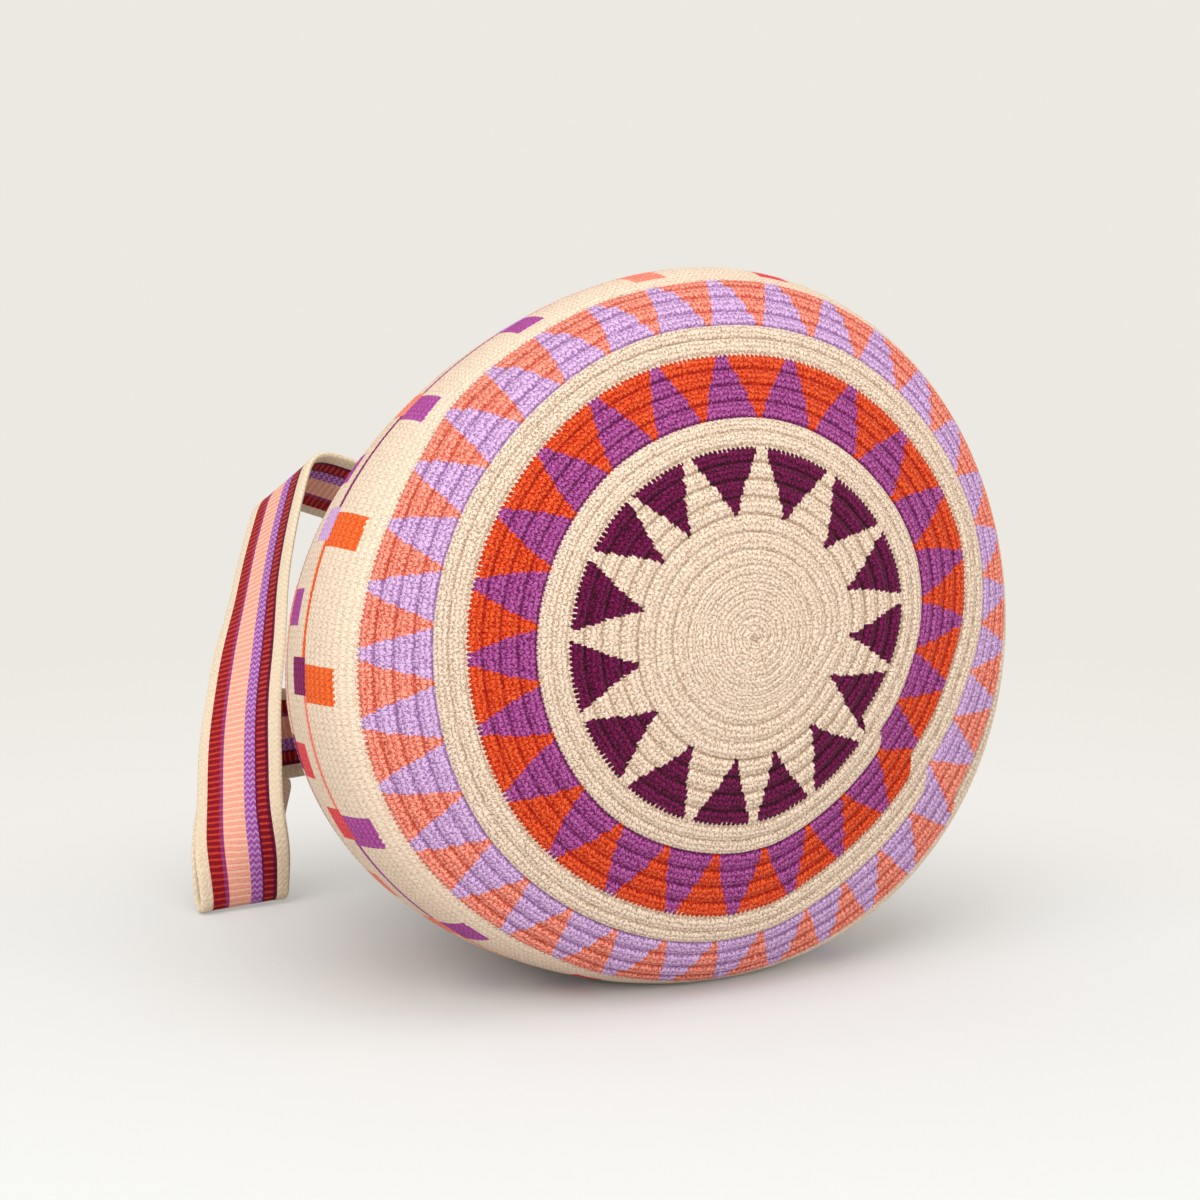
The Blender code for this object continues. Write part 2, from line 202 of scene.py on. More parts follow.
# Bends along the strap: place, half length, and degrees of bend, twist and sideways
BENDS = (
    (-0.160, 0.020, -106, 7, 2), (-0.140, 0.020, -74.5, -30, -8.7),
    (-0.120, 0.020, 18, 69, -23), (-0.100, 0.020, 40.4, -4.6, -9.4),
    (-0.080, 0.020, -31.3, 11.8, 0), (-0.060, 0.022, 43.9, -3.6, -22.9),
    (-0.020, 0.028, -37.5, -46.1, 0), (0.030, 0.034, -12.9, -10.1, 0),
    (0.080, 0.034, -2.8, -14.4, 0), (0.125, 0.034, -5.1, -2.6, 0),
    (0.228, 0.030, -3.7, 19.1, 0), (0.256, 0.030, -31.2, -10, 0),
    (0.284, 0.030, -61.3, -62.9, 0), (0.312, 0.030, -58.6, -70.8, 0))
# The fold on the floor, and the roll at the top round a slanting line: place, half
# length, degrees of turn, degrees of the line and the length over which it fades
FLOOR_FOLD = (-0.0449, 0.008, -173.2)
TOP_ROLL = (0.1625, 0.017, -78.2, 79.0, 0.030)
# Each end lies flat on the wall, and the leg is eased over this length to meet it
SEAT_FLAT = 0.022
SEAT_EASE = 0.100
SEAT_SIDES = (-1, 1)
# Weave: the weft's pitch and ribs, how far it lies below the chained edges, and where
# across a half width an edge starts and ends
WEFT_PITCH = 0.00254
RIB = 0.00012
WEAVE_SUNK = 0.0002
EDGE_RISE = 0.00012
CHAIN = 0.0001
CHAIN_LEAN = 0.25
EDGE_FROM = 0.72
EDGE_TO = 0.93
EDGE_FADES = (0.06, 0.07)
WEAVE_FADE = 0.03
# Columns of faces across each side, and the rounding of the band's two edges
STRAP_COLUMNS = 56
ROUND_FROM = 0.95
ROUND_OVER = 0.0502
ROUND_LEAST = 0.04

# How cotton takes the light, and the yarns as dyed, sRGB
COTTON = {"Roughness": 0.88, "Sheen Weight": 0.04, "Sheen Roughness": 0.5,
          "Specular IOR Level": 0.12}
YARNS = {"cream": "EED5BD", "plum": "600136", "orange": "DF4212", "purple": "A2408A",
         "salmon": "F98C74", "lilac": "D6ACDC", "magenta": "AE4699",
         "scarlet": "E8484E", "flame": "F0601C", "wine": "86105A"}
YARN_NAMES = list(YARNS)
# Stripes of the strap from its left edge: place across it, yarn, the weft that shows
# on it, and whether its threads are braided
STRIPES = ((0.0, "D8C6AD", "EAD9C2", 1), (0.130, "860C20", "C64430", 0),
           (0.270, "8E2C66", "AE5488", 0), (0.315, "E09E8A", "F2C8B2", 0),
           (0.560, "94529C", "D0A0D0", 1), (0.688, "640A2C", "84264E", 0),
           (0.712, "7A0820", "C64A38", 0), (0.812, "600828", "7A2048", 0),
           (0.855, "D8C6AD", "EAD9C2", 1))
# Braids and warp threads across the strap's width
BRAIDS = 16.6
WARP_THREADS = 50.0
# Paper: two tones in the light, and those it fades to with the distance from a place
PAPER_LOW = "C9CAC9"
PAPER_HIGH = "CBCCCB"
PAPER_MIDDLE = (0.0, -0.35, 0.0)
PAPER_TONES = ((0.30, "F6F5F1"), (0.476, "F4F0EB"), (0.62, "F0EDE8"), (0.84, "ECE9E2"))
PAPER_FADE = (0.24, 0.58)
# Its sweep: front, start and radius of the curve behind, top and half width
SWEEP = (-3.0, 4.0, 2.0, 5.0, 6.0)
SWEEP_STEPS = 12
# Lights: place, what they point at, size and watts
LIGHTS = {"key_softbox": ((-1.3, -2.1, 1.9), (0, 0, 0.1), (2.2, 2.2), 58),
          "fill_softbox": ((1.7, -2.0, 1.1), (0, 0, 0.12), (2.0, 1.6), 38),
          "top_softbox": ((0.2, -0.7, 2.6), (0, 0, 0), (2.2, 1.6), 24)}
WORLD_COLOUR = "FFFDF9"
WORLD_STRENGTH = 0.76
# Camera: its place, and how many degrees it looks down
CAMERA_AT = (0.00437, -1.4009, 0.4233)
CAMERA_DOWN = 12


def linear(hex_colour):
    """An sRGB hex colour as linear red, green, blue and 1."""
    parts = [int(hex_colour[k:k + 2], 16) / 255 for k in (0, 2, 4)]
    return [c / 12.92 if c <= 0.04045 else ((c + 0.055) / 1.055) ** 2.4
            for c in parts] + [1.0]


def smooth(x):
    """A smooth step from 0 to 1."""
    x = np.clip(x, 0.0, 1.0)
    return x * x * (3 - 2 * x)


def unit(vectors):
    """Vectors at length 1."""
    lengths = np.linalg.norm(vectors, axis=-1, keepdims=True)
    return vectors / np.maximum(lengths, 1e-12)


def put(name, data):
    """A new object in the scene."""
    made = bpy.data.objects.new(name, data)
    bpy.context.scene.collection.objects.link(made)
    return made


# The bag's wall

LENGTHS = np.concatenate(([0.0], np.cumsum(np.hypot(*np.diff(OUTLINE, axis=0).T))))
LIP = LENGTHS[-1]
SLOPES = np.vstack(((0.0, 1.0),
                    (OUTLINE[2:] - OUTLINE[:-2]) / (LENGTHS[2:] - LENGTHS[:-2])[:, None],
                    (OUTLINE[-1] - OUTLINE[-2]) / (LENGTHS[-1] - LENGTHS[-2])))


def outline_at(run):
    """Depth and radius at lengths along the outline, on a smooth curve."""
    i = np.clip(np.searchsorted(LENGTHS, run, "right") - 1, 0, len(LENGTHS) - 2)
    span = LENGTHS[i + 1] - LENGTHS[i]
    u = (run - LENGTHS[i]) / span
    mixed = [(2 * u**3 - 3 * u**2 + 1) * OUTLINE[i, j]
             + (3 * u**2 - 2 * u**3) * OUTLINE[i + 1, j]
             + (u**3 - 2 * u**2 + u) * span * SLOPES[i, j]
             + (u**3 - u**2) * span * SLOPES[i + 1, j]
             for j in (0, 1)]
    return mixed[0], mixed[1]


def outline_in(run, inset):
    """The outline set in from the outer face."""
    step = 0.0005
    depth_a, radius_a = outline_at(np.maximum(run - step, 0.0))
    depth_b, radius_b = outline_at(np.minimum(run + step, LIP))
    length = np.hypot(depth_b - depth_a, radius_b - radius_a)
    depth, radius = outline_at(run)
    depth = depth + (radius_b - radius_a) / length * inset
    radius = radius - (depth_b - depth_a) / length * inset
    return depth, np.maximum(radius, 0.0)


def sag(angle):
    """How far the slumped wall stands off a round one, round the belly."""
    total = SAG_MEAN
    for waves, along_cosine, along_sine in SAG_WAVES:
        total = total + along_cosine * np.cos(waves * angle)
        total = total + along_sine * np.sin(waves * angle)
    return total


def laid(depth, radius, angle):
    """Wall points as the slumped bag lies, from its round shape."""
    belly = smooth((depth - SAG_RISE[0]) / (SAG_RISE[1] - SAG_RISE[0]))
    belly = belly * (1 - smooth((depth - SAG_FADE[0]) / (SAG_FADE[1] - SAG_FADE[0])))
    radius = radius + sag(angle) * belly
    local = np.stack((radius * np.cos(angle), radius * np.sin(angle), -depth), axis=-1)
    points = local @ LAY.T + BASE_AT
    back = np.maximum(depth - DROP_START, 0.0) / (OUTLINE[-1, 0] - DROP_START)
    points[..., 2] -= MOUTH_DROP * back**DROP_CURVE
    return points


def seat(angle):
    """Where a strap end lies on the wall: centre, way to the mouth, round, out."""
    step = 0.002
    turn = 0.02
    run = LIP - STRAP_OVERLAP
    here = outline_at(run)
    at = laid(*here, angle)
    to_mouth = unit(laid(*outline_at(run + step), angle)
                    - laid(*outline_at(run - step), angle))
    around = laid(*here, angle + turn) - laid(*here, angle - turn)
    around = unit(around - around @ to_mouth * to_mouth)
    out = np.cross(to_mouth, around)
    return at - SEAT_PRESS * out, to_mouth, around, out


SEATS = (seat(UPPER_SEAT), seat(LOWER_SEAT))


def wall_point(run, angle, inset=0.0):
    """Points of the wall, pressed flat under the strap's ends and on the floor."""
    run = np.clip(run, 0.0, LIP)
    points = laid(*outline_in(run, inset), angle)
    pressed = smooth((run - LIP + PRESS_START) / PRESS_RAMP)
    for at, _, _, out in SEATS:
        over = np.maximum((points - at) @ out + inset, 0.0) * pressed
        points = points - over[..., None] * out
    points[..., 2] = np.maximum(points[..., 2], inset)
    return points


def wall_normal(run, angle):
    """Outward directions of the wall."""
    step = 0.0006
    run = np.maximum(run, step)
    ahead = wall_point(run + step, angle) - wall_point(run - step, angle)
    turn = step / np.maximum(outline_at(np.minimum(run, LIP))[1], step)
    around = wall_point(run, angle + turn) - wall_point(run, angle - turn)
    return unit(np.cross(ahead, around))


def raised(run, angle, height, inset=0.0):
    """Points at a height off the wall or off its inner face, and not below the floor."""
    points = wall_point(run, angle, inset)
    points = points + height[:, None] * wall_normal(run, angle)
    points[:, 2] = np.maximum(points[:, 2], inset)
    return points


# The rounds of crochet

def crochet_rows():
    """Each row from the base's centre to the lip: start, width, sub-rows, stitches,
    kind and place in its band."""
    rows = []
    run = 0.0
    for count, width, kind in BASE_ROWS:
        for k in range(count):
            around = TURN * float(outline_at(np.array(run + width / 2))[1])
            rows.append((run, width, max(round(width / SUBROW), 1),
                         max(round(around / BASE_PITCH), 6), kind, k))
            run += width
    base = len(rows)
    for count, end in ((SIDE_ROWS, LIP - EYELET_BELOW_LIP), (NECK_ROWS, LIP)):
        width = (end - run) / count
        for _ in range(count):
            place = len(rows) - base
            stitches = [n for n, first in SIDE_STITCHES if place >= first][-1]
            rows.append((run, width, 1, stitches, "side", place))
            run += width
    return [np.array(column) for column in zip(*rows)]


STARTS, WIDTHS, SUBROWS, STITCHES, KINDS, STEPS = crochet_rows()
BANDED = np.isin(KINDS, list(BAND_YARNS))
ROW_GROOVES = np.array([GROOVES.get(kind, BAND_GROOVE) for kind in KINDS])
BASE_COUNT = int(np.sum(KINDS != "side"))
BASE_END = float(STARTS[BASE_COUNT])
BORDERS = np.append(STARTS, LIP)


def wind(run, angle):
    """How far a row has wound on into the next one, from 0 to 1, round the base."""
    degrees = np.degrees(angle) % 360
    late = smooth((degrees - WIND_START) / WIND_LENGTH)
    late = np.where(degrees < WIND_START + WIND_LENGTH - 360,
                    smooth((degrees + 360 - WIND_START) / WIND_LENGTH) - 1, late)
    steady = degrees / 360
    share = smooth((run - SPIRAL_END) / SPIRAL_FADE)
    return np.where(run < BASE_END, steady * (1 - share) + late * share, 0.0)


def row_place(run, angle):
    """Row number, place within the row from 0 to 1, and how far its yarn runs ahead."""
    place = np.interp(run, BORDERS, np.arange(len(BORDERS))) - wind(run, angle)
    row = np.clip(np.floor(place), 0, len(STARTS) - 1).astype(int)
    part = np.clip(place - row, 0.0, 1.0)
    degrees = np.degrees(angle) % 360
    ahead = np.clip((degrees - WIND_START) / WIND_STEP + 0.5, 0, 1)
    return row, part, np.where((run < BASE_END) & (run > STEPS_START), ahead, 0.0)


def wander(run, angle):
    """Real runs and angles of a round's points: the rounds aren't quite circles."""
    degrees = np.degrees(angle) % 360
    fade = np.clip(run / STRAY_FULL, 0, 1) ** 2
    fade = fade * (1 - smooth((run - STRAY_END) / STRAY_FADE))
    size, waves, shift = RIPPLE
    ripple = size * np.sin(waves * angle + shift * run)
    stray = np.interp(degrees, STRAY_AT, STRAY) + ripple
    edge = np.interp(degrees, DRAWN_AT, DRAWN_EDGE)
    squares = np.interp(degrees, DRAWN_AT, DRAWN_SQUARES)
    to_edge = smooth((run - DRAWN_START) / (BASE_END - DRAWN_START))
    to_squares = smooth((run - BASE_END) / (SQUARES_RUN - BASE_END))
    drawn = np.where(run < BASE_END, edge * to_edge, edge + (squares - edge) * to_squares)
    drawn = drawn * (1 - smooth((run - SQUARES_RUN) / SQUARES_FADE))
    off = run + 0.001 * (fade * stray + drawn)
    middle = 1 - smooth(run / CENTRE_FADE)
    x = off * np.cos(angle) + CENTRE_OFF[0] * middle
    y = off * np.sin(angle) + CENTRE_OFF[1] * middle
    turned = np.arctan2(y, x)
    turned = angle + (turned - angle + math.pi) % TURN - math.pi
    return np.hypot(x, y), turned


def stitch_ridge(stitch, subrow):
    """Legs of the stitches as chevrons, from 0 between legs to 1 on one."""
    leg = np.abs(stitch % 1 - 0.5) * 2
    return 0.5 + 0.5 * np.cos(TURN * (subrow + LEG_LEAN * leg))


def relief(run, angle):
    """Height of the crochet off its wall, ribbed rows with stitches on them, and how much
    of each place is out of the painted shade of the row grooves, from 0 in a groove to 1."""
    row, part, _ = row_place(run, angle)
    groove, sharpness, shade = ROW_GROOVES[row].T
    dip = np.abs(2 * part - 1) ** sharpness
    groove = np.where(run < NARROW_END, groove * NARROW_GROOVE, groove)
    stitch = STITCHES[row] * angle / TURN
    ridge = stitch_ridge(stitch, part * SUBROWS[row])
    height = -groove * dip + STITCH_RELIEF * (ridge - STITCH_SUNK) * (1 - dip)
    return height, 1 - shade * dip


# The pattern

def in_triangles(kind, step, part, degrees):
    """Which places lie in a band's triangles: each fills its share of the spacing."""
    tips = np.array(TIPS[kind])
    wide = np.concatenate(([tips[-1] - 360], tips, [tips[0] + 360]))
    after = np.clip(np.searchsorted(wide, degrees), 1, len(wide) - 1)
    gap = wide[after] - wide[after - 1]
    off = np.minimum(degrees - wide[after - 1], wide[after] - degrees) / gap
    share = np.interp(step + 0.5 + ROW_SLOPE * (part - 0.5), SHARE_ROWS, SHARES[kind])
    return off < share / 2


def base_yarns(row, part, degrees):
    """Index of the yarn of each place on the base; plain rows are cream."""
    names = np.zeros(len(row), dtype=int)
    for kind, (figure, ground) in BAND_YARNS.items():
        inside = in_triangles(kind, STEPS[row], part, degrees)
        yarn = np.where(inside, YARN_NAMES.index(figure), YARN_NAMES.index(ground))
        names = np.where(KINDS[row] == kind, yarn, names)
    return names


def side_yarns(step, degrees):
    """Index of the yarn of each place on the side: on cream, rings of squares in pairs,
    the back one a stitch aside, with a thin line from pair to pair."""
    names = np.zeros(len(step), dtype=int)
    stitch = np.floor(degrees / 360 * SIDE_STITCHES[0][0])
    for ring, first in enumerate(range(FIRST_RING, LAST_RING, RING_STEP)):
        start = SQUARE_START + (UNIT + 1) // 2 * (ring % 2)
        place, shifted = ((stitch - start + k) % UNIT for k in (0, 1))
        unit, unit_back = (np.floor((stitch - start + k) / UNIT).astype(int)
                           + ring * RING_SHIFT for k in (0, 1))
        rows = step - first
        behind = rows - FRONT_ROWS
        front = (rows >= 0) & (behind < 0) & (place < SQUARE_WIDE)
        back = (behind >= 0) & (behind < BACK_ROWS) & (shifted < SQUARE_WIDE)
        line = (behind == 0) & ~back
        for where, which, yarns in (
                (line, unit, LINE_YARNS), (front, unit, FRONT_YARNS),
                (back, unit_back, BACK_YARNS)):
            picks = np.array([YARN_NAMES.index(name) for name in yarns])
            names = np.where(where, picks[which % len(picks)], names)
    return names


def yarn_of(run, angle):
    """Index of the yarn at places on the bag. Heads of the next row's stitches reach
    over the end of a row, so an edge between two yarns is toothed."""
    row, part, ahead = row_place(run, angle)
    last = len(STARTS) - 1
    yarn_row = np.clip(np.floor(row + part + ahead - 1e-6), 0, last).astype(int)
    even = (ahead == 0) | (ahead == 1)
    yarn_row = np.where(even, np.minimum(row + ahead.astype(int), last), yarn_row)
    part = np.where(even, part, (row + part + ahead) % 1)
    degrees = np.degrees(angle) % 360
    stitch = STITCHES[row] * (angle % TURN) / TURN
    # A share for each stitch that looks random: a wave much shorter than a stitch
    uneven = 0.5 + 0.5 * np.sin(12.9898 * np.floor(stitch) + 78.233 * row)
    base = row < BASE_COUNT
    after = KINDS[np.minimum(yarn_row + 1, last)]
    pale = np.isin(after, ("plain", "side")) & BANDED[yarn_row]
    reach = np.where(base, np.where(pale, PALE_REACH, BASE_REACH), SIDE_REACH)
    reach = reach * (REACH_LEAST + REACH_ADDED * uneven)
    head = np.where(base & ~pale, BLUNT_HEAD, TAPERED_HEAD * (part - 1 + reach) / reach)
    tooth = even & (part > 1 - reach) & (np.abs((stitch + HEAD_OFF) % 1 - 0.5) < head)
    yarn_row = np.where(tooth, np.minimum(yarn_row + 1, last), yarn_row)
    part = np.where(tooth, 0.0, part)
    halves = (np.floor(stitch * 2) + 0.5) / 2 / STITCHES[row] * 360
    names = base_yarns(yarn_row, part, halves)
    aside = side_yarns(STEPS[yarn_row], degrees)
    return np.where(KINDS[yarn_row] == "side", aside, names)


# Meshes of crochet

def mesh_from(name, verts, quads, tris):
    """A mesh from arrays of points, quads and triangles."""
    mesh = bpy.data.meshes.new(name)
    mesh.vertices.add(len(verts))
    mesh.vertices.foreach_set("co", np.asarray(verts, dtype=np.float32).ravel())
    corners = np.concatenate((quads.ravel(), tris.ravel()))
    starts = np.concatenate((np.arange(len(quads)) * 4,
                             len(quads) * 4 + np.arange(len(tris)) * 3))
    mesh.loops.add(len(corners))
    mesh.loops.foreach_set("vertex_index", corners.astype(np.int32))
    mesh.polygons.add(len(starts))
    mesh.polygons.foreach_set("loop_start", starts.astype(np.int32))
    mesh.update(calc_edges=True)
    mesh.validate()
    mesh.shade_smooth()
    return put(name, mesh)


def zip_rings(low, high, first, second):
    """Triangles between two rings of different counts, by their angles."""
    tris = []
    i = j = 0
    while i < low or j < high:
        a, b = first + i % low, second + j % high
        if j >= high or (i < low and (i + 1) / low <= (j + 1) / high):
            i += 1
            tris.append((a, b, first + i % low))
        else:
            j += 1
            tris.append((a, b, second + j % high))
    return tris


def belt(a, b, count):
    """Quads between two rings of as many points, which start at these vertices."""
    i = np.arange(count)
    j = (i + 1) % count
    return np.stack((a + i, b + i, b + j, a + j), axis=1)


def weave_rings(rings):
    """Vertices' runs and angles, quads, triangles and first vertices of rings, each
    given as its run and its count of points."""
    counts = [count for _, count in rings]
    firsts = [0, *np.cumsum(counts)[:-1].tolist()]
    runs = np.repeat([run for run, _ in rings], counts)
    angles = np.concatenate([np.arange(count) * TURN / count for count in counts])
    quads, tris = [], []
    for low, high, a, b in zip(counts, counts[1:], firsts, firsts[1:]):
        if low == high:
            quads.append(belt(a, b, low))
        elif low == 1:
            i = np.arange(high)
            tris.append(np.stack((np.full(high, a), b + i, b + (i + 1) % high), axis=1))
        else:
            tris.append(np.array(zip_rings(low, high, a, b)))
    quads = np.concatenate(quads) if quads else np.zeros((0, 4), int)
    tris = np.concatenate(tris) if tris else np.zeros((0, 3), int)
    return runs, angles, quads, tris, firsts


def dress(piece, runs, angles, quads, tris, unshaded):
    """Give a crocheted piece its yarns, its stitch coordinates and its share out of the
    painted shade of the row grooves.
    """
    mesh = piece.data
    corners = np.concatenate((quads.ravel(), tris.ravel()))
    sizes = np.concatenate((np.full(len(quads), 4), np.full(len(tris), 3)))
    face = np.repeat(np.arange(len(sizes)), sizes)
    first = np.concatenate(([0], np.cumsum(sizes)[:-1]))
    corner_angle = angles[corners]
    lead = corner_angle[first][face]
    corner_angle = lead + (corner_angle - lead + math.pi) % TURN - math.pi
    corner_run = runs[corners]
    face_run = np.add.reduceat(corner_run, first) / sizes
    face_angle = np.add.reduceat(corner_angle, first) / sizes
    row = row_place(face_run, face_angle)[0]
    yarn = yarn_of(face_run, face_angle)
    palette = np.array([linear(YARNS[name]) for name in YARN_NAMES])
    colours = mesh.color_attributes.new("yarn", "FLOAT_COLOR", "CORNER")
    colours.data.foreach_set("color", palette[yarn][face].ravel())
    stitch = STITCHES[row][face] * corner_angle / TURN
    place = np.interp(corner_run, BORDERS, np.arange(len(BORDERS)))
    place = place - wind(corner_run, face_angle[face])
    subrow = (place - row[face]) * SUBROWS[row][face] + row[face] * ROW_APART
    uv = mesh.uv_layers.new(name="stitches")
    uv.data.foreach_set(
        "uv", np.stack((stitch, subrow), axis=1).astype(np.float32).ravel())
    # Each point's share out of the painted shade of the row grooves, for the material
    mesh.attributes.new("unshaded", "FLOAT", "POINT").data.foreach_set(
        "value", unshaded.astype(np.float32))


def crochet_piece(name, rings, side=1.0, inset=0.0):
    """A crocheted skin over a stack of rings, facing out, or in where side is -1."""
    runs, angles, quads, tris, _ = weave_rings(rings)
    real_run, real_angle = wander(runs, angles)
    height, unshaded = relief(runs, angles)
    points = raised(real_run, real_angle, side * height, inset)
    if side < 0:
        quads = quads[:, ::-1]
        tris = tris[:, ::-1]
    piece = mesh_from(name, points, quads, tris)
    dress(piece, runs, angles, quads, tris, unshaded)
    return piece


def row_rings(first, last, per_subrow, per_stitch):
    """Rings for a stretch of rows: their runs and how many points each has."""
    rings = [(0.0, 1)] if first == 0 else []
    for row in range(first, last):
        count = int(STITCHES[row]) * per_stitch
        steps = int(SUBROWS[row]) * per_subrow
        for k in range(steps):
            if row or k:
                rings.append((float(STARTS[row] + WIDTHS[row] * k / steps), count))
    count = int(STITCHES[min(last, len(STITCHES) - 1)]) * per_stitch
    rings.append((float(BORDERS[last]), count))
    return rings


def eyelet_pull(run, angle):
    """Pull the stitches apart round each eyelet: the nearest points go to its edge."""
    centre = LIP - EYELET_BELOW_LIP
    radius = float(outline_at(np.array(centre))[1])
    for k in range(EYELETS):
        middle = TURN * (k + 0.5) / EYELETS
        x = (angle - middle) * radius
        y = run - centre
        off = np.hypot(x, y)
        near = (off < EYELET_PULL) & (off > 1e-6)
        pulled = np.interp(off, (EYELET_RING, EYELET_PULL), (EYELET_RADIUS, EYELET_PULL))
        scale = np.where(near, pulled / np.maximum(off, 1e-6), 1.0)
        angle = np.where(near, middle + x * scale / radius, angle)
        run = np.where(near, centre + y * scale, run)
    return run, angle


def rim_rings(outside, inside, ahead):
    """Rings over the rim, which is a rounded edge from the outside to the inside."""
    rings = []
    for degrees in RIM_TURNS:
        turn = math.radians(degrees)
        across = 0.5 - 0.5 * math.cos(turn)
        rings.append(outside * (1 - across) + inside * across
                     + WALL / 2 * math.sin(turn) * ahead)
    return rings


def eyelet_faces(ring_starts, count, shift):
    """Each eyelet's middle vertex, which goes, and the faces between the two skins."""
    loop = [(-1, -1), (-1, 0), (-1, 1), (0, 1), (1, 1), (1, 0), (1, -1), (0, -1)]
    gone, quads = [], []
    for k in range(EYELETS):
        column = round((k + 0.5) / EYELETS * count)
        gone.append(ring_starts[1] + column)
        spots = [ring_starts[1 + a] + (column + b) % count for a, b in loop]
        quads += [(a, b, b + shift, a + shift)
                  for a, b in zip(spots, spots[1:] + spots[:1])]
    return gone, np.array(quads)


def crochet_mouth(name, first):
    """The neck with its eyelets, the rim, and the same stretch of the inside."""
    outer = row_rings(first, len(STARTS), 2, 2)
    count = outer[-1][1]
    outer = [(run, count) for run, _ in outer]
    runs, angles, quads, tris, firsts = weave_rings(outer)
    total = len(runs)
    pulled = eyelet_pull(runs, angles)
    height, unshaded = relief(runs, angles)
    outside = raised(*pulled, height)
    inside = raised(*pulled, -height, WALL)
    last = slice(firsts[-1], total)
    before = wall_point(runs[last] - 0.001, angles[last])
    ahead = unit(wall_point(runs[last], angles[last]) - before)
    rim = rim_rings(outside[last], inside[last], ahead)
    points = np.concatenate([outside, *rim, inside])
    shift = total + len(rim) * count
    starts = [firsts[-1], *range(total, shift, count), shift + firsts[-1]]
    rim_quads = [belt(a, b, count) for a, b in zip(starts, starts[1:])]
    row = int(np.argmin([abs(run - (LIP - EYELET_BELOW_LIP)) for run, _ in outer]))
    gone, hole_quads = eyelet_faces(firsts[row - 1:row + 2], count, shift)
    kept = quads[~np.isin(quads, gone).any(axis=1)]
    inner = kept[:, ::-1] + shift
    all_quads = np.concatenate((kept, inner, *rim_quads, hole_quads))
    used = np.zeros(len(points), bool)
    used[all_quads.ravel()] = True
    all_quads = (np.cumsum(used) - 1)[all_quads]
    runs = np.concatenate((runs, np.full(shift - total, LIP), runs))[used]
    angles = np.concatenate((angles, np.tile(angles[last], len(rim)), angles))[used]
    # The rim takes none of the painted groove shade
    unshaded = np.concatenate((unshaded, np.ones(shift - total), unshaded))[used]
    piece = mesh_from(name, points[used], all_quads, tris)
    dress(piece, runs, angles, all_quads, tris, unshaded)
    return piece


# The strap

def hump(place, centre, half):
    """A smooth hump of area 1 along the strap."""
    x = min(max((place - centre) / half, -1.0), 1.0)
    return (1 + math.cos(math.pi * x)) / (2 * half)


def slant(place):
    """Direction of the strap's straight cross line, against its length."""
    centre, half, _, line, fade = TOP_ROLL
    near = float(smooth((fade + half - abs(place - centre)) / fade))
    return math.pi / 2 + (math.radians(line) - math.pi / 2) * near


def turn_rate(place, along, across):
    """The strap's turn for each metre of its length, as a rotation vector."""
    bend, twist, aside = (
        sum(math.radians(row[k]) * hump(place, row[0], row[1]) for row in BENDS)
        for k in (2, 3, 4))
    centre, half, fold = FLOOR_FOLD
    bend += math.radians(fold) * hump(place, centre, half)
    centre, half, roll, _, _ = TOP_ROLL
    lean = slant(place)
    line = math.cos(lean) * along + math.sin(lean) * across
    roll = math.radians(roll) * hump(place, centre, half)
    return bend * across + twist * along + roll * line + aside * across.cross(along)


def strap_run(length, way):
    """Cross lines from the start to one end: place, centre, along, across."""
    along = STRAP_UP.normalized()
    across = (STRAP_ACROSS - STRAP_ACROSS.dot(along) * along).normalized()
    centre = STRAP_START + Vector(BASE_AT)
    lines = [(0.0, centre, along, across)]
    steps = math.ceil(length / STRAP_STEP)
    step = length / steps
    for k in range(steps):
        rate = turn_rate(way * k * step, along, across) * step * way
        turn = Matrix.Rotation(rate.length, 3, rate.normalized())
        before = along
        along = (turn @ along).normalized()
        across = (turn @ across).normalized()
        centre = centre + way * step * (before + along) / 2
        lines.append((way * (k + 1) * step, centre, along, across))
    return lines


def frame_matrix(centre, along, across):
    """A place and its three directions, as one matrix."""
    up = along.cross(across)
    turned = Matrix((along, across, up)).transposed().to_4x4()
    return Matrix.Translation(centre) @ turned


def eased(length, way, index):
    """One leg of the strap, from its start to its seat, as cross lines."""
    lines = strap_run(length - SEAT_FLAT, way)
    at, to_mouth, around, out = (Vector(v) for v in SEATS[index])
    seat_centre = at + (GAP + STRAP_THICK / 2) * out
    seat_along = -way * to_mouth
    seat_across = SEAT_SIDES[index] * around
    place, centre, along, across = lines[-1]
    flat_start = seat_centre - way * SEAT_FLAT * seat_along
    fit = frame_matrix(flat_start, seat_along, seat_across)
    fit = fit @ frame_matrix(centre, along, across).inverted()
    turn = fit.to_3x3()
    moved = []
    for place, centre, along, across in lines:
        share = float(smooth((abs(place) - length + SEAT_FLAT + SEAT_EASE) / SEAT_EASE))
        moved.append((place, centre.lerp(fit @ centre, share),
                      along.lerp(turn @ along, share).normalized(),
                      across.lerp(turn @ across, share).normalized()))
    for k in (0.25, 0.5, 0.75, 1.0):
        spot = flat_start.lerp(seat_centre, k)
        place = way * (length - SEAT_FLAT * (1 - k))
        moved.append((place, spot, seat_along, seat_across))
    return moved


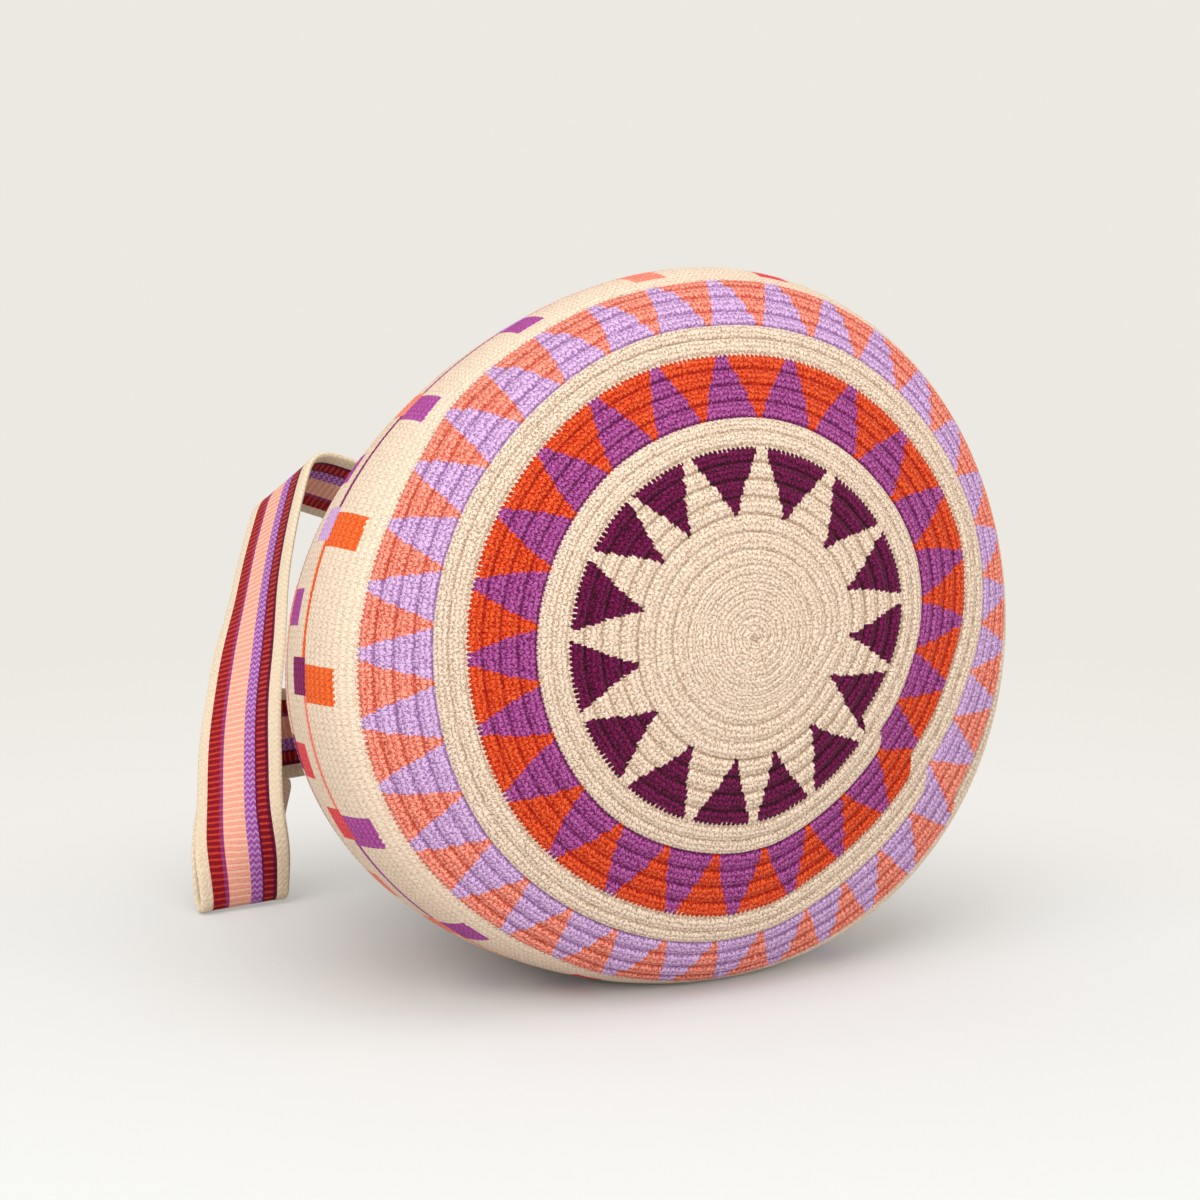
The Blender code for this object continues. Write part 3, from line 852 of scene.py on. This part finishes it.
def strap_lines():
    """The strap's cross lines, close together, as arrays: place along it, centre, cross
    direction, and how far along it a cross line runs for each metre across."""
    upper = eased(UPPER_LENGTH, 1, 0)
    lower = eased(LOWER_LENGTH, -1, 1)
    lines = lower[:0:-1] + upper
    place = np.array([line[0] for line in lines])
    leans = [slant(line[0]) for line in lines]
    cross = np.array([(math.cos(a) * line[2] + math.sin(a) * line[3]) / math.sin(a)
                      for a, line in zip(leans, lines)])
    centre = np.array([line[1] for line in lines])
    drift = np.array([1 / math.tan(a) for a in leans])
    fine = np.linspace(place[0], place[-1], (len(lines) - 1) * STRAP_FINE + 1)
    spread = [np.stack([np.interp(fine, place, v[:, k]) for k in range(3)], axis=1)
              for v in (centre, cross)]
    # Round the corners between the cross lines
    for values in spread:
        for _ in range(STRAP_SMOOTHED):
            values[1:-1] = values[1:-1] / 2 + (values[:-2] + values[2:]) / 4
    return fine, spread[0], spread[1], np.interp(fine, place, drift)


def strap_height(across, along):
    """Height of the weave off the band's face: weft ribs and thick chained edges."""
    aside = np.abs(across)
    edge = smooth((aside - EDGE_FROM) / EDGE_FADES[0])
    edge = edge * (1 - smooth((aside - EDGE_TO) / EDGE_FADES[1]))
    chain = 0.5 + 0.5 * np.cos(TURN * (along / WEFT_PITCH + CHAIN_LEAN * aside))
    rib = 0.5 - 0.5 * np.cos(TURN * along / WEFT_PITCH)
    sunk = smooth((EDGE_FROM - aside) / WEAVE_FADE)
    return RIB * rib * sunk - WEAVE_SUNK * sunk + edge * (EDGE_RISE + CHAIN * chain)


def woven_band(name):
    """The strap: a closed woven band round its middle surface."""
    place, centre, cross, drift = strap_lines()
    half = STRAP_COLUMNS
    columns = np.concatenate((np.linspace(-1, 1, half), np.linspace(1, -1, half)))
    faces = np.concatenate((np.ones(half), -np.ones(half)))
    lines = len(place)
    aside = columns * STRAP_WIDTH / 2
    middle = centre[:, None, :] + cross[:, None, :] * aside[None, :, None]
    run = np.gradient(middle, axis=0)
    normal = unit(np.cross(run, np.broadcast_to(cross[:, None, :], run.shape)))
    along = place[:, None] + aside[None, :] * drift[:, None]
    over = np.maximum(np.abs(columns) - ROUND_FROM, 0) / ROUND_OVER
    taper = np.sqrt(np.clip(1 - over**2, ROUND_LEAST, 1))
    lift = (STRAP_THICK / 2 + strap_height(columns[None, :], along)) * taper[None, :]
    points = middle + normal * (lift * faces[None, :])[..., None]
    ring = 2 * half
    i = np.arange(ring)
    j = (i + 1) % ring
    quads = [np.stack((a + i, a + j, a + ring + j, a + ring + i), axis=1)
             for a in range(0, (lines - 1) * ring, ring)]
    m = np.arange(half - 1)
    for a, way in ((0, 1), ((lines - 1) * ring, -1)):
        end = np.stack((a + m, a + ring - 1 - m, a + ring - 2 - m, a + m + 1), axis=1)
        quads.append(end[:, ::way])
    quads = np.concatenate(quads)
    piece = mesh_from(name, points.reshape(-1, 3), quads, np.zeros((0, 3), int))
    # Coordinates: from 0 to 1 across, and millimetres along
    uv = piece.data.uv_layers.new(name="weave")
    spots = np.broadcast_arrays((columns[None, :] + 1) / 2, along * 1000)
    spots = np.stack(spots, axis=2).reshape(-1, 2)[quads.ravel()]
    uv.data.foreach_set("uv", spots.astype(np.float32).ravel())
    return piece


# Materials

def node(tree, kind, inputs=None, **settings):
    """Add a node with its settings, and its inputs as values or links."""
    made = tree.nodes.new("ShaderNode" + kind)
    for name, value in settings.items():
        setattr(made, name, value)
    for name, value in (inputs or {}).items():
        if isinstance(value, bpy.types.NodeSocket):
            tree.links.new(value, made.inputs[name])
        else:
            made.inputs[name].default_value = value
    return made


def computed(tree, operation, *values, kind="Math", **settings):
    """The result of a math node."""
    return node(tree, kind, dict(enumerate(values)), operation=operation,
                **settings).outputs[0]


def ranged(tree, value, source, target=(0.0, 1.0), **settings):
    """A value mapped from one range to another."""
    inputs = {"Value": value, "From Min": source[0], "From Max": source[1],
              "To Min": target[0], "To Max": target[1]}
    return node(tree, "MapRange", inputs, **settings).outputs["Result"]


def noise(tree, place, scale, detail=2.0, roughness=0.5):
    """Outputs of a noise over the piece; its forms are 1 / scale metres wide."""
    return node(tree, "TexNoise", {"Vector": place, "Scale": scale, "Detail": detail,
                                   "Roughness": roughness}).outputs


def blended(tree, share, first, second, **settings):
    """Two colours mixed: none of the second at 0, all of it at 1."""
    mix = node(tree, "Mix", {"Factor": share, 6: first, 7: second}, data_type="RGBA",
               **settings)
    return mix.outputs[2]


def gamma(tree, colour, power):
    """A colour to a power: over 1 it is deeper, under 1 paler."""
    return node(tree, "Gamma", {"Color": colour, "Gamma": power}).outputs["Color"]


def colour_stops(tree, value, stops, interpolation="LINEAR"):
    """A colour for each value, from stops of place and colour."""
    ramp = node(tree, "ValToRGB", {"Fac": value})
    ramp.color_ramp.interpolation = interpolation
    made = ramp.color_ramp.elements
    for k, (spot, colour) in enumerate(stops):
        stop = made[k] if k < 2 else made.new(spot)
        stop.position = spot
        stop.color = colour
    return ramp.outputs["Color"]


def finish_shader(tree, shader, colour, height, strength, distance):
    """Give a shader its colour and its bumps."""
    tree.links.new(colour, shader.inputs["Base Color"])
    bump = node(tree, "Bump", {"Height": height, "Strength": strength,
                               "Distance": distance})
    tree.links.new(bump.outputs["Normal"], shader.inputs["Normal"])


def matte_material(name):
    """A matte cotton material, with its tree, its shader and its places."""
    mat = bpy.data.materials.new(name)
    mat.use_nodes = True
    tree = mat.node_tree
    shader = tree.nodes["Principled BSDF"]
    for key, value in COTTON.items():
        shader.inputs[key].default_value = value
    return mat, tree, shader, node(tree, "TexCoord").outputs["Object"]


def crocheted_cotton(name, shading_contrast, distance, stray):
    """Cotton yarn in single crochet: small slanting legs with fibres on them, painted
    highlights on the fibres and crests, and painted shade, the yarn's own colour
    deepened, in the gaps and in the grooves of the rows."""
    mat, tree, shader, place = matte_material(name)
    yarn = node(tree, "VertexColor", layer_name="yarn").outputs["Color"]
    # Each place's share out of the painted shade of the row grooves
    unshaded = node(tree, "Attribute", attribute_name="unshaded").outputs["Fac"]
    # Hand work: the legs stray from their places
    unevenness = noise(tree, place, scale=480.0, detail=1.0)["Color"]
    centred = computed(tree, "SUBTRACT", unevenness, (0.5, 0.5, 0.5), kind="VectorMath")
    uv = node(tree, "UVMap", uv_map="stitches").outputs["UV"]
    strayed = computed(tree, "MULTIPLY_ADD", centred, (stray, stray, 0.0), uv,
                       kind="VectorMath")
    apart = node(tree, "SeparateXYZ", {"Vector": strayed}).outputs
    # Two legs of a stitch lean towards each other, so their ridges are chevrons
    leg = computed(tree, "PINGPONG", apart["X"], 0.5)
    phase = computed(tree, "MULTIPLY_ADD", leg, 2 * LEG_LEAN, apart["Y"])
    wave = computed(tree, "COSINE", computed(tree, "MULTIPLY", phase, TURN))
    ridge = ranged(tree, wave, (-1.0, 0.5))
    gap = ranged(tree, leg, (0.0, 0.17))
    stitch = computed(tree, "MULTIPLY", ridge, gap)
    # Fibres in clumps of about half a millimetre lie over the stitches
    speck = noise(tree, place, scale=2100.0, detail=1.5, roughness=0.7)["Fac"]
    fibres = ranged(tree, speck, (0.36, 0.66))
    softer = computed(tree, "MULTIPLY", stitch, 0.85)
    height = computed(tree, "MULTIPLY_ADD", fibres, 1.15, softer)
    # Painted light: a level from 0, in painted shade deep in a groove, to 1, in painted
    # highlight on the brightest fibres
    groove_shade = ranged(tree, unshaded, (0.0, 0.75), (-0.5, 0.0),
                        interpolation_type="SMOOTHSTEP")
    level = ranged(tree, height, (0.35, 1.75),
                   (0.55 - 0.65 * shading_contrast, 0.55 + 0.6 * shading_contrast), clamp=False)
    level = computed(tree, "ADD", level, groove_shade)
    low = ranged(tree, level, (-0.1, 0.5))
    high = ranged(tree, level, (0.55, 1.05), (0.0, 0.85))
    # Painted shade: the yarn deepened and darkened for gaps and grooves; painted
    # highlight: the yarn paled on the highest fibres and crests
    shaded_yarn = blended(tree, 1.0, gamma(tree, yarn, 1.7), (0.5, 0.5, 0.5, 1.0),
                   blend_type="MULTIPLY")
    body = blended(tree, low, shaded_yarn, yarn)
    lit = blended(tree, high, body, gamma(tree, yarn, 0.62))
    finish_shader(tree, shader, lit, height, strength=0.8, distance=distance)
    return mat


def woven_cotton():
    """Woven cotton: coloured warp stripes, crossed by dotted lines of the weft."""
    mat, tree, shader, place = matte_material("woven cotton band")
    uv = node(tree, "UVMap", uv_map="weave").outputs["UV"]
    apart = node(tree, "SeparateXYZ", {"Vector": uv}).outputs
    stripes = [(spot, linear(yarn), linear(weft), (braided,) * 3 + (1,))
               for spot, yarn, weft, braided in STRIPES]
    yarn, weft, braided = (
        colour_stops(tree, apart["X"], [(row[0], row[k]) for row in stripes], "CONSTANT")
        for k in (1, 2, 3))
    # Braided threads lean to and fro, about two braids to a stripe
    lean = computed(tree, "PINGPONG", computed(tree, "MULTIPLY", apart["X"], BRAIDS), 0.5)
    lean = computed(tree, "MULTIPLY", lean, braided)
    picks = computed(tree, "MULTIPLY_ADD", apart["Y"], 1 / (1000 * WEFT_PITCH), lean)
    wobble = noise(tree, place, scale=300.0)["Fac"]
    picks = computed(tree, "MULTIPLY_ADD", wobble, 0.3, picks)
    line = ranged(tree, computed(tree, "PINGPONG", picks, 0.5), (0.27, 0.38))
    # Warp threads of about 0.75 mm cut each line into dots
    warp = computed(tree, "MULTIPLY", apart["X"], WARP_THREADS)
    dots = ranged(tree, computed(tree, "PINGPONG", warp, 0.5), (0.04, 0.2), (0.35, 1.0))
    shown = computed(tree, "MULTIPLY", line, dots)
    mixed = blended(tree, shown, yarn, weft)
    speck = noise(tree, place, scale=1300.0, detail=2.0, roughness=0.8)["Fac"]
    fuzz = ranged(tree, speck, (0.32, 0.68))
    height = computed(tree, "MULTIPLY_ADD", fuzz, 0.5, shown)
    share = ranged(tree, fuzz, (0.0, 0.8), (0.3, 1.0))
    body = blended(tree, share, gamma(tree, mixed, 1.45), mixed)
    finish_shader(tree, shader, body, height, strength=0.7, distance=0.0004)
    return mat


def sewing_thread():
    """Twisted cotton sewing thread, cream, with the slant of its plies."""
    mat, tree, shader, place = matte_material("sewing thread")
    plies = node(tree, "TexWave", {"Vector": place, "Scale": 400.0, "Distortion": 2.0},
                 bands_direction="DIAGONAL").outputs["Fac"]
    mixed = blended(tree, plies, linear("CDB795"), linear("EADCC5"))
    finish_shader(tree, shader, mixed, plies, strength=0.5, distance=0.0002)
    return mat


def studio_paper():
    """Matte paper. Seen straight, it fades with distance to an even pale tone."""
    mat, tree, shader, place = matte_material("studio paper")
    shader.inputs["Sheen Weight"].default_value = 0.0
    mottle = noise(tree, place, scale=3.0)["Fac"]
    mixed = blended(tree, mottle, linear(PAPER_LOW), linear(PAPER_HIGH))
    tree.links.new(mixed, shader.inputs["Base Color"])
    away = node(tree, "VectorMath", {0: place, 1: PAPER_MIDDLE},
                operation="DISTANCE").outputs["Value"]
    tone = colour_stops(tree, away, [(spot, linear(c)) for spot, c in PAPER_TONES])
    glow = node(tree, "Emission", {"Color": tone}).outputs[0]
    path = node(tree, "LightPath").outputs
    seen = computed(tree, "ADD", path["Is Camera Ray"], path["Is Glossy Ray"])
    seen = computed(tree, "ADD", seen, path["Is Transmission Ray"], use_clamp=True)
    far = ranged(tree, away, PAPER_FADE, interpolation_type="SMOOTHSTEP")
    both = node(tree, "MixShader", {"Fac": computed(tree, "MULTIPLY", seen, far)})
    tree.links.new(shader.outputs[0], both.inputs[1])
    tree.links.new(glow, both.inputs[2])
    tree.links.new(both.outputs[0], tree.nodes["Material Output"].inputs["Surface"])
    return mat


# Making the pieces

def make_bag():
    """The crocheted bag, in skins that meet in the grooves between rows."""
    ribbed = crocheted_cotton("crocheted cotton yarn, ribbed rounds", 1.0, 0.0005, 1.3)
    close = crocheted_cotton("crocheted cotton yarn, close rounds", 0.55, 0.00035, 0.4)
    middle, bands, belly, back = SKIN_ROWS
    belly += BASE_COUNT
    back = len(STARTS) - back
    skins = (("crocheted_base_middle", 0, middle, 3, 4),
             ("crocheted_base_bands", middle, bands, 3, 4),
             ("crocheted_base_edge", bands, BASE_COUNT, 3, 4),
             ("crocheted_belly", BASE_COUNT, belly, 3, 2),
             ("crocheted_back", belly, back, 2, 2))
    pieces = [crochet_piece(name, row_rings(*rows)) for name, *rows in skins]
    pieces.append(crochet_mouth("crocheted_mouth", back))
    inside = row_rings(0, back, 1, 1)
    pieces.append(crochet_piece("crocheted_inside", inside, -1.0, WALL))
    for piece in pieces:
        piece.data.materials.append(ribbed if "_base_" in piece.name else close)
        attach(piece, "root")
        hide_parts("crocheted_bag")


def make_strap():
    """The woven strap, in place of the plain band."""
    strap = woven_band("woven_shoulder_band")
    strap.data.materials.append(woven_cotton())
    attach(strap, "root")
    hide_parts("woven_strap")


def make_seams():
    """Thread for the two seams, which stay as modelled."""
    thread = sewing_thread()
    for name in ("upper_strap_seam", "lower_strap_seam"):
        seam = bpy.data.objects[name]
        for slot in seam.material_slots:
            slot.material = thread


def make_stage():
    """Paper sweep: flat floor that curves up far behind."""
    front, back, radius, top, half = SWEEP
    outline = [(front, 0.0), (back, 0.0)]
    for k in range(1, SWEEP_STEPS + 1):
        turn = math.pi / 2 * k / SWEEP_STEPS
        outline.append((back + radius * math.sin(turn), radius - radius * math.cos(turn)))
    outline.append((back + radius, top))
    verts = [(x, y, z) for y, z in outline for x in (-half, half)]
    faces = [(2 * k, 2 * k + 1, 2 * k + 3, 2 * k + 2) for k in range(len(outline) - 1)]
    mesh = bpy.data.meshes.new("paper_sweep")
    mesh.from_pydata(verts, [], faces)
    mesh.shade_smooth()
    mesh.materials.append(studio_paper())
    sweep = put("paper_sweep", mesh)


def make_lights():
    """Three soft boxes in a pale room."""
    for name, (at, towards, size, watts) in LIGHTS.items():
        data = bpy.data.lights.new(name, "AREA")
        data.shape = "RECTANGLE"
        data.size, data.size_y = size
        data.energy = watts
        lamp = put(name, data)
        lamp.location = at
        aim = Vector(towards) - Vector(at)
        lamp.rotation_euler = aim.to_track_quat("-Z", "Y").to_euler()
    world = bpy.data.worlds.new("studio")
    world.use_nodes = True
    room = world.node_tree.nodes["Background"].inputs
    room["Color"].default_value = linear(WORLD_COLOUR)
    room["Strength"].default_value = WORLD_STRENGTH
    bpy.context.scene.world = world


def make_camera():
    """The photo's view, from the camera's place, lens and downward look."""
    data = bpy.data.cameras.new("camera")
    data.lens = 108
    data.sensor_width = 36
    camera = put("camera", data)
    camera.location = CAMERA_AT
    camera.rotation_euler = (math.radians(90 - CAMERA_DOWN), 0, 0)
    bpy.context.scene.camera = camera


make_camera()
make_stage()
make_lights()
make_bag()
make_strap()
make_seams()
bpy.context.scene.view_settings.view_transform = "Standard"
